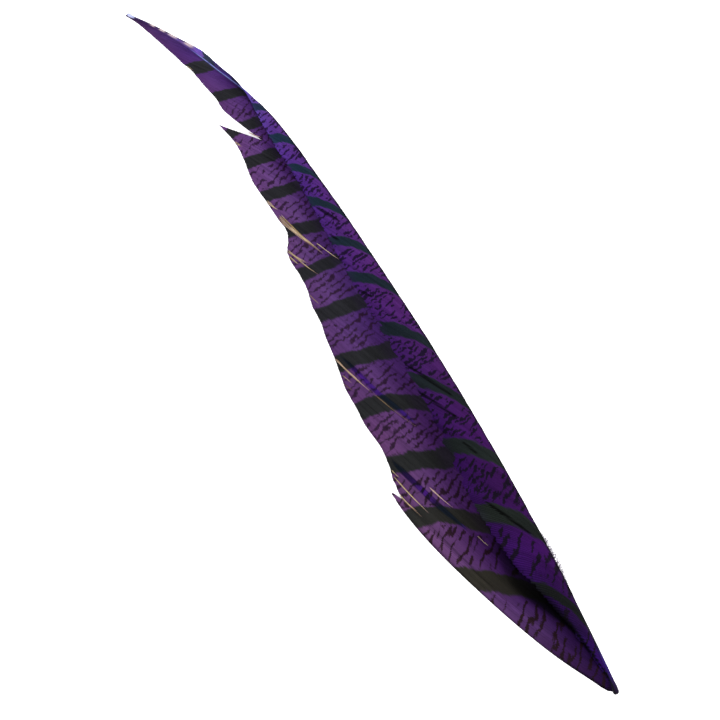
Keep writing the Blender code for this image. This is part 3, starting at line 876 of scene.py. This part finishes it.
def lit_table():
    """White acrylic, faintly lit from below as for product photographs: it hides the shadows."""
    material, node, link, shader, where = new_material("lit_white_acrylic", 0.6, 0.5)
    # the sheet's unevenness, in patches of 170 mm
    mottle = node("ShaderNodeTexNoise", {"Vector": where, "Scale": 0.006 / MM, "Detail": 2.0})
    mixed = node("ShaderNodeMix", {0: mottle, 6: "#f7f7f8", 7: "#fbfbfb"}, data_type="RGBA").outputs[2]
    link(mixed, shader["Base Color"])
    shader["Emission Color"].default_value = linear("#ffffff")
    shader["Emission Strength"].default_value = 0.6
    return material


# --------------------------------------------------------------------------------------- the shaft

SHAFT_RINGS = 150
SHAFT_SIDES = 20
GROOVE_DEPTH = 0.28  # of the shaft's upper face, as a share of its radius
GROOVE_HALF_ANGLE = 50.0
GROOVE_LEAN = 42.0  # the groove lies towards the inner vane
# the groove's painted shade: the station from which it begins, and over how long it grows
GROOVE_SHADE_FROM, GROOVE_SHADE_GROWTH = 2.6, 2.0
# Its ends: distance from the tip or from the quill's end, and share of the radius.
TIP_END = [
    (0.0, 0.8), (0.2, 1.9), (0.6, 2.6), (1.3, 2.7), (2.0, 2.4), (2.8, 1.9), (3.6, 1.4), (4.4, 1.0),
]
TIP_END_LENGTH, QUILL_END_LENGTH = 5.2, 5.0
QUILL_END = [(3.4, 1.15), (1.9, 1.24), (0.7, 1.2), (0.1, 1.0), (-0.3, 0.6)]
QUILL_LEAN = 0.3  # how far its end leans to the inner side
QUILL_LEAN_FROM, QUILL_LEAN_GROWTH = 4.0, 3.0  # from how far off, and over how long
SHAFT_STAIN = [
    (-1, "#a9adcc"), (2.6, "#9ea3c8"), (3.6, "#2f2848"), (5, "#22153a"), (12, "#351f48"),
    (26, "#3a2458"), (31, "#4a3c80"), (36, "#6a70ac"), (50, "#6f76b0"), (60, "#585a9c"),
    (72, "#1a1230"), (300, "#0d0816"), (356, "#08050e"), (363, "#241050"), (371, "#200e48"),
    (375, "#1c1030"), (380, "#140b1c"),
]
# the colour of the shade painted in the groove, by the station
GROOVE_SHADE = [
    (0, "#20142f"), (12, "#351f48"), (25, "#2d1b4c"), (32, "#161034"), (60, "#141230"),
    (120, "#0a0816"), (380, "#06040a"),
]


def make_shaft(material):
    """The shaft: a tapered rod, grooved along its upper face and flat where it lies on the table."""
    stations = list(TIP_END)
    stations += [(x, 1.0) for x in np.linspace(TIP_END_LENGTH, LENGTH - QUILL_END_LENGTH, SHAFT_RINGS)]
    stations += [(LENGTH - back, share) for back, share in QUILL_END]
    x = np.array([s[0] for s in stations])[:, None]
    share = np.array([s[1] for s in stations])[:, None]
    angle = np.linspace(0, 2 * np.pi, SHAFT_SIDES, endpoint=False)[None, :]
    radius = shaft_radius(x) * share
    from_groove = (np.degrees(angle) - 90 - GROOVE_LEAN) / GROOVE_HALF_ANGLE
    groove = np.exp(-(from_groove**2) * 2) + 0 * x
    reach = radius * (1 - GROOVE_DEPTH * groove)
    ahead = along(SHAFT_LINE, x + 1.0) - along(SHAFT_LINE, x - 1.0)
    heading = unit(np.concatenate([np.full_like(ahead, 2.0), ahead], -1))
    across = reach * np.cos(angle)
    height = np.maximum(shaft_height(x) + reach * np.sin(angle), 0.0)
    lean = QUILL_LEAN * ease((x - LENGTH + QUILL_LEAN_FROM) / QUILL_LEAN_GROWTH)
    middle = along(SHAFT_LINE, x) - lean
    points = np.stack([x - across * heading[:, 1:], middle + across * heading[:, :1], height], -1)
    rings = len(stations)
    number = np.arange(rings * SHAFT_SIDES).reshape(rings, SHAFT_SIDES)
    following = np.roll(number, -1, axis=1)
    faces = np.stack([number[:-1], following[:-1], following[1:], number[1:]], -1).reshape(-1, 4)
    faces = faces.tolist() + [number[0][::-1].tolist(), number[-1].tolist()]
    data = bpy.data.meshes.new("shaft")
    data.from_pydata(place(points).reshape(-1, 3).tolist(), [], faces)
    # the groove is painted darker, as its shade
    in_groove_shade = ease(groove) * ease((x - GROOVE_SHADE_FROM) / GROOVE_SHADE_GROWTH)
    in_groove_shade = in_groove_shade[..., None]
    station = x + 0 * angle
    stain_and_groove_shade = colour_at(SHAFT_STAIN, station) * (1 - in_groove_shade)
    add_values(data, "stain_and_groove_shade", stain_and_groove_shade + colour_at(GROOVE_SHADE, station) * in_groove_shade)
    data.materials.append(material)
    data.shade_smooth()
    return new_object("shaft", data)


# --------------------------------------------------------------------------------- the inner vane

# The barbs that have turned over: the middle line of each strip, and its width.
TURNED = [
    ([(184.5, -11.8), (195.0, -10.3), (205.1, -8.7), (215.0, -5.8), (226.0, -3.0)], 1.9),
    ([(235.5, -21.4), (248.0, -19.0), (261.1, -16.7), (277.0, -12.8)], 2.4),
]
TURNED_ENDS = 6, 14  # over how many millimetres a strip narrows at its rim end and at its inner end
TURNED_END_WIDTH = 0.45  # as a share of its width
TURNED_EDGE = 0.85, 1.15  # shares of its half width between which it ends
TURNED_LIFT = 0.35
TURNED_SHADE = 0.35  # of the streaks along it
STREAKS_ACROSS, STREAKS_ALONG = 9, 3  # how fine they are
TURNED_FACE = {
    **RICH_FACE,
    "dye": [
        (0, "#301358"), (188, "#301358"), (191, "#180a34"), (194, "#2e1256"), (226, "#26104c"),
        (236, "#150a2a"), (247, "#1a0b34"), (253, "#361660"), (258, "#2e1250"), (262, "#0e0c16"),
        (271, "#0e0c16"), (274, "#2c1258"), (380, "#2c1258"),
    ],
    "bars": [(0, "#0b111c"), (380, "#0a0f16")],
    "in_fold": [(0, 1), (380, 1)],
    "partings": [],
}


def in_strips(points):
    """1 on the strips of turned barbs and 0 off them."""
    x, y = points[..., 0], points[..., 1]
    inside = np.zeros_like(x)
    rim_end, inner_end = TURNED_ENDS
    edge_begins, edge_ends = TURNED_EDGE
    for middle, width in TURNED:
        first, last = middle[0][0], middle[-1][0]
        ends = ease((x - first) / rim_end) * ease((last - x) / inner_end)
        half = width / 2 * (TURNED_END_WIDTH + (1 - TURNED_END_WIDTH) * ends)
        off = np.abs(y - between(middle, x)) / half
        edge = ease((edge_ends - off) / (edge_ends - edge_begins))
        inside = np.maximum(inside, edge * (ends > 0))
    return inside


def make_inner_vane(tree):
    """The broad vane, from its duller face: its barbs, and the web between them."""
    barbs = barb_lines(inner_point, INNER_GAPS, INNER_PARTINGS, INNER_UNEVEN, INNER_SEED)
    points = barbs["points"]
    x = points[..., 0]
    values = dyed(barbs, DULL_FACE, inner_bars(points), inner_across(points))
    to_rim = points[..., 1] - along(LEFT_EDGE, x)
    shaded(values, 1 + (between(RIM_SHADE, x) - 1) * bell(to_rim / RIM_SHADE_WIDTH))
    # the barbs that have turned over show the richer face
    turned = in_strips(points)
    points[..., 2] += TURNED_LIFT * turned
    rich = dyed(barbs, TURNED_FACE, inner_bars(points), inner_across(points))
    streaks = noise(barbs["line"] * STREAKS_ACROSS, barbs["share"] * STREAKS_ALONG, STREAK_SEED)
    shaded(rich, 1 - TURNED_SHADE * streaks)
    for key in ("ground", "bar_dye_and_shade", "line_dye_and_shade"):
        values[key] += (rich[key] - values[key]) * turned[..., None]
    material = dyed_barbs("dyed_barbs_dull_face", DULL_FACE)
    web = web_piece("inner_web", barbs, material, values, {SLIT_LINE: SLIT_SPLIT, **INNER_GAPS})
    return [swept_piece("inner_vane", tree, barbs, material, values), web]


# --------------------------------------------------------------------------------- the outer vane

# Towards the tip the rim is worn pale, in patches: station, and reach along the rim.
WORN_PATCHES = [(10.8, 1.1), (15.2, 1.3), (20.0, 2.0), (27.4, 2.0)]
WORN_FROM, WORN_GROWTH = 0.25, 0.35  # shares of a barb from which, and over which, it is worn
WORN_LEAST = 0.75  # the least that a barb there has lost
WORN_COLOUR = "#b8a6a8"
# Between the patches the rim is dark: from and to which station, how wide, and what light is left.
TIP_EDGE = [9, 30]
TIP_EDGE_GROWTH, TIP_EDGE_WIDTH, TIP_EDGE_LIGHT = 4, 0.5, 0.45
# Along the roll's edge the barbs are darker.
ROLL_EDGE_WIDTH = 1.5
ROLL_EDGE_DEPTH = 0.93
ROLL_EDGE_FROM, ROLL_EDGE_GROWTH = 36, 20


def make_outer_vane(tree):
    """The narrow vane, from its richer face: its barbs, and the web between them."""
    barbs = barb_lines(outer_point, {}, OUTER_PARTINGS, OUTER_UNEVEN, OUTER_SEED)
    points, share = barbs["points"], barbs["share"]
    values = dyed(barbs, RICH_FACE, outer_bars(points), 1 - outer_across(points))
    x, y = points[..., 0], points[..., 1]
    station, reach = np.array(WORN_PATCHES).T
    worn = bell((x[..., None] - station) / reach, 4).max(-1) * ease((share - WORN_FROM) / WORN_GROWTH)
    worn = worn * barbs["draw"].uniform(WORN_LEAST, 1, (BARBS, 1))
    values["ground"] += (np.array(linear(WORN_COLOUR)[:3]) - values["ground"]) * worn[..., None]
    begin, end = TIP_EDGE
    dark = bell((y - along(OUTER_RIM_SIDE, x)) / TIP_EDGE_WIDTH)
    dark = (1 - TIP_EDGE_LIGHT) * dark * ease((x - begin + TIP_EDGE_GROWTH) / TIP_EDGE_GROWTH)
    edge_shade = 1 - dark * ease((end - x) / TIP_EDGE_GROWTH) * (1 - worn)
    to_edge = along(SHAFT_LINE, x) + ROLL_SIDE - y
    # the barbs are darker along the roll's edge
    roll_edge_dark = (1 - ease(to_edge / ROLL_EDGE_WIDTH)) * ease((x - ROLL_EDGE_FROM) / ROLL_EDGE_GROWTH)
    shaded(values, (1 - ROLL_EDGE_DEPTH * roll_edge_dark) * edge_shade)
    material = dyed_barbs("dyed_barbs_rich_face", RICH_FACE)
    web = web_piece("outer_web", barbs, material, values, {})
    return [swept_piece("outer_vane", tree, barbs, material, values), web]


# -------------------------------------------------------------------- undyed barbs, and the down

# Where the dye missed some barbs: rim end, inner end, spread, strands and half width, in millimetres.
UNDYED = [
    ((114.2, 1.9), (141.5, 8.6), 2.7, 17, 0.14), ((133.0, 8.4), (148.3, 13.4), 0.3, 2, 0.07),
    ((128.9, -4.0), (142.0, 1.2), 1.1, 5, 0.09), ((129.8, -3.9), (149.3, 2.0), 0.7, 3, 0.09),
    ((131.5, -5.0), (139.0, -2.9), 0.7, 3, 0.08), ((105.3, 1.6), (113.0, 3.8), 1.2, 5, 0.08),
    ((75.0, 5.8), (79.5, 7.2), 0.9, 4, 0.07), ((151.2, -7.6), (158.0, -6.3), 0.4, 2, 0.08),
    ((181.0, -15.3), (206.0, -10.1), 0.9, 5, 0.1), ((203.0, -10.9), (232.6, -1.9), 0.3, 2, 0.08),
    ((189.5, -16.9), (196.0, -15.2), 0.35, 2, 0.08), ((193.0, -18.9), (199.0, -16.8), 0.35, 2, 0.08),
    ((237.4, -24.2), (243.0, -23.2), 0.4, 2, 0.09), ((240.5, -24.9), (265.7, -21.4), 0.5, 3, 0.1),
    ((248.0, -28.0), (265.2, -24.7), 1.0, 5, 0.1), ((253.8, -14.7), (268.8, -11.2), 0.4, 3, 0.13),
    ((35.0, 8.0), (38.8, 10.0), 0.8, 3, 0.05), ((75.6, 13.2), (82.0, 17.3), 0.5, 2, 0.1),
    ((283.5, -10.3), (292.0, -8.4), 0.2, 1, 0.045),
]
UNDYED_SEED = 31
CREAM_SHADES = ("#c2b086", "#ae9a72", "#8c7650", "#5d4630", "#a0857a")
CREAM_END, CREAM_END_SHARE = "#6b4c62", 0.35  # the colour that they begin with, and how long it lasts

STRAND_STEPS = 24
STRAND_JITTER = 0.5  # how far a strand is off its even place, as a share of its distance from the next
STRAND_BEGINS = -0.02, 0.35  # before and past the bundle's inner end, as shares of its length
STRAND_ENDS = -0.1, 0.02  # the same for its rim end
FAN_BEGINS = 0.12  # how wide the bundle is at its inner end, as a share of its spread
FAN_BOW = 0.015  # sideways bow of the bundle, as a share of its length
STRAND_WANDER = 0.12  # how far a strand strays to the sides, in millimetres
STRAND_WAVES = 4, 9  # how many radians its wander takes over its length, from the least to the most
ANY_PHASE = 0, 6  # radians, about a whole turn
STRAND_LIFT = 0.45  # above the inner vane
STRAND_LIFT_VARIES = 0.6, 1.4
STRAND_LIFT_SHARE = 0.2  # of the strand, over which it rises
STRAND_WIDTH_VARIES = 0.7, 1.1
STRAND_ROOT_WIDTH, STRAND_ROOT_SHARE = 0.3, 0.5  # how thin it begins, and until where it is thinner
STRAND_TIP_WIDTH, STRAND_TIP_SHARE = 0.1, 0.1  # and how it thins at its tip


def strand_bundle(ends, seed):
    """Strands between two places on the inner vane: where they end at the rim, and where they begin."""
    draw = np.random.default_rng(seed)
    points, widths, shares = [], [], []
    t = np.linspace(0, 1, STRAND_STEPS + 1)
    grown = ease(t / STRAND_ROOT_SHARE) * ease((1 - t) / STRAND_TIP_SHARE + STRAND_TIP_WIDTH)
    profile = STRAND_ROOT_WIDTH + (1 - STRAND_ROOT_WIDTH) * grown
    for tip, base, spread, count, half_width in ends:
        tip, base = np.array(tip, float), np.array(base, float)
        chord = tip - base
        length = np.linalg.norm(chord)
        normal = np.array([-chord[1], chord[0]]) / length
        narrow = min(1, spread)
        for across in (np.arange(count) + 0.5) / count * 2 - 1:
            side = (across + draw.uniform(-STRAND_JITTER, STRAND_JITTER) / count) * spread / 2
            begin = base + chord * draw.uniform(*STRAND_BEGINS) * narrow
            end = tip + chord * draw.uniform(*STRAND_ENDS)
            line = begin + (end - begin) * t[:, None]
            fan = (FAN_BEGINS + (1 - FAN_BEGINS) * t) * side + FAN_BOW * length * np.sin(np.pi * t)
            waves = np.sin(t * draw.uniform(*STRAND_WAVES) + draw.uniform(*ANY_PHASE))
            fan = fan + STRAND_WANDER * waves * narrow
            line = line + normal * fan[:, None]
            lift = STRAND_LIFT * ease(t / STRAND_LIFT_SHARE) * draw.uniform(*STRAND_LIFT_VARIES)
            points.append(np.column_stack([line, inner_height(line[:, 0], line[:, 1]) + lift]))
            widths.append(half_width * draw.uniform(*STRAND_WIDTH_VARIES) * profile)
            shares.append(t)
    points = np.array(points)
    return {
        "points": points,
        "half_width": np.array(widths),
        "facing": np.broadcast_to(UPWARDS, points.shape),
        "share": np.array(shares),
        "draw": draw,
    }


def make_undyed_barbs(tree):
    """The cream strands among the inner vane's barbs, each in one of a few shades."""
    strands = strand_bundle(UNDYED, UNDYED_SEED)
    points = strands["points"]
    shades = np.array([linear(colour)[:3] for colour in CREAM_SHADES])
    picked = shades[strands["draw"].integers(0, len(shades), len(points))]
    cream = np.broadcast_to(picked[:, None, :], points.shape).copy()
    ending = ease(1 - strands["share"] / CREAM_END_SHARE)[..., None]
    cream += (np.array(linear(CREAM_END)[:3]) - cream) * ending
    return swept_piece("undyed_barbs", tree, strands, bare_barbs(), {"cream": cream})


DOWN_SEED = 41
DOWN_FROM, DOWN_TO = 296.0, 331.0  # stations
DOWN_STRANDS = 420
DOWN_STEPS = 10
DOWN_LENGTH = 0.8, 3.0  # in the middle of the tuft, in millimetres; it runs out towards its ends
DOWN_LEAN = -1.2, 0.9  # along the shaft, as a share of the length
DOWN_CURL = -0.8, 0.8
DOWN_RISE = -0.6, 1.6  # in millimetres
DOWN_OFF_SHAFT = 0.7  # from the shaft's middle to where it begins
DOWN_WAVE, DOWN_WAVES = 0.3, 5  # height of a strand's waves, and radians along it
DOWN_LOWEST = 0.1
DOWN_HALF_WIDTH, DOWN_THINNING = 0.085, 0.04  # coarser than the real 0.01 mm, so that it shows


def make_down(tree):
    """A tuft of down that was left on the shaft's side, a little before the quill's end."""
    draw = np.random.default_rng(DOWN_SEED)
    t = np.linspace(0, 1, DOWN_STEPS + 1)
    one_each = DOWN_STRANDS, 1
    base = draw.uniform(DOWN_FROM, DOWN_TO, one_each)
    fullness = np.sin(np.pi * (base - DOWN_FROM) / (DOWN_TO - DOWN_FROM))
    size = draw.uniform(*DOWN_LENGTH, one_each) * fullness
    lean = draw.uniform(*DOWN_LEAN, one_each)
    curl = draw.uniform(*DOWN_CURL, one_each)
    x = base + size * (lean * t + curl * t * t)
    y = along(SHAFT_LINE, base) + DOWN_OFF_SHAFT + size * t
    z = shaft_height(base) + draw.uniform(*DOWN_RISE, one_each) * t + DOWN_WAVE * np.sin(t * DOWN_WAVES)
    points = np.stack([x, y, np.maximum(z, DOWN_LOWEST)], -1)
    strands = {
        "points": points,
        "half_width": np.broadcast_to(DOWN_HALF_WIDTH - DOWN_THINNING * t, points.shape[:2]),
        "facing": np.broadcast_to(UPWARDS, points.shape),
    }
    return swept_piece("down_tuft", tree, strands, white_down(), {})


# ---------------------------------------------------------------------------------------- stage

CAMERA_LENS = 85.0
SENSOR = 36.0
PICTURE_WIDTH = 0.3277  # metres of table across the picture
PICTURE_MIDDLE = (-0.00126, -0.00474)
PICTURE_TURN = 54.06  # degrees: how far the feather's line is turned in the picture
TABLE_HALF = 3.0
TABLE_TOP = -0.0003  # a little lower than the lowest barbs
ROOM_LIGHT = 1.35
KEY_LIGHT = (-0.15, 0.9, 0.85), 0.7, 9  # place, size and power
FILL_LIGHT = (0.3, -0.9, 1.1), 1.2, 6


def make_camera():
    """Straight above the feather, as in the photo."""
    camera = new_object("camera", bpy.data.cameras.new("camera"))
    camera.data.lens = CAMERA_LENS
    camera.data.sensor_width = SENSOR
    distance = PICTURE_WIDTH / 2 / (SENSOR / 2 / CAMERA_LENS)
    camera.location = (*PICTURE_MIDDLE, distance)
    camera.rotation_euler = (0, 0, math.radians(PICTURE_TURN))
    bpy.context.scene.camera = camera


def make_light(name, location, size, power):
    """A square soft light that faces the feather."""
    light = new_object(name, bpy.data.lights.new(name, "AREA"))
    light.data.size = size
    light.data.energy = power
    light.location = location
    light.rotation_euler = (-Vector(location)).to_track_quat("-Z", "Y").to_euler()


def make_stage():
    """The table, the room and its lights."""
    data = bpy.data.meshes.new("table")
    signs = [(-1, -1), (1, -1), (1, 1), (-1, 1)]
    corners = [(x * TABLE_HALF, y * TABLE_HALF, TABLE_TOP) for x, y in signs]
    data.from_pydata(corners, [], [(0, 1, 2, 3)])
    data.materials.append(lit_table())
    new_object("table", data)
    world = bpy.data.worlds.new("soft_room")
    world.use_nodes = True
    background = world.node_tree.nodes["Background"].inputs
    background["Color"].default_value = (1, 1, 1, 1)
    background["Strength"].default_value = ROOM_LIGHT
    bpy.context.scene.world = world
    make_light("key", *KEY_LIGHT)
    make_light("fill", *FILL_LIGHT)
    bpy.context.scene.view_settings.view_transform = "Standard"


def main():
    tree = barb_tree()
    pieces = [
        make_shaft(shaft_keratin()),
        *make_inner_vane(tree),
        *make_outer_vane(tree),
        make_undyed_barbs(tree),
        make_down(tree),
    ]
    for piece in pieces:
        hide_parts(NODE)
        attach(piece, "root")
    make_stage()
    make_camera()


main()
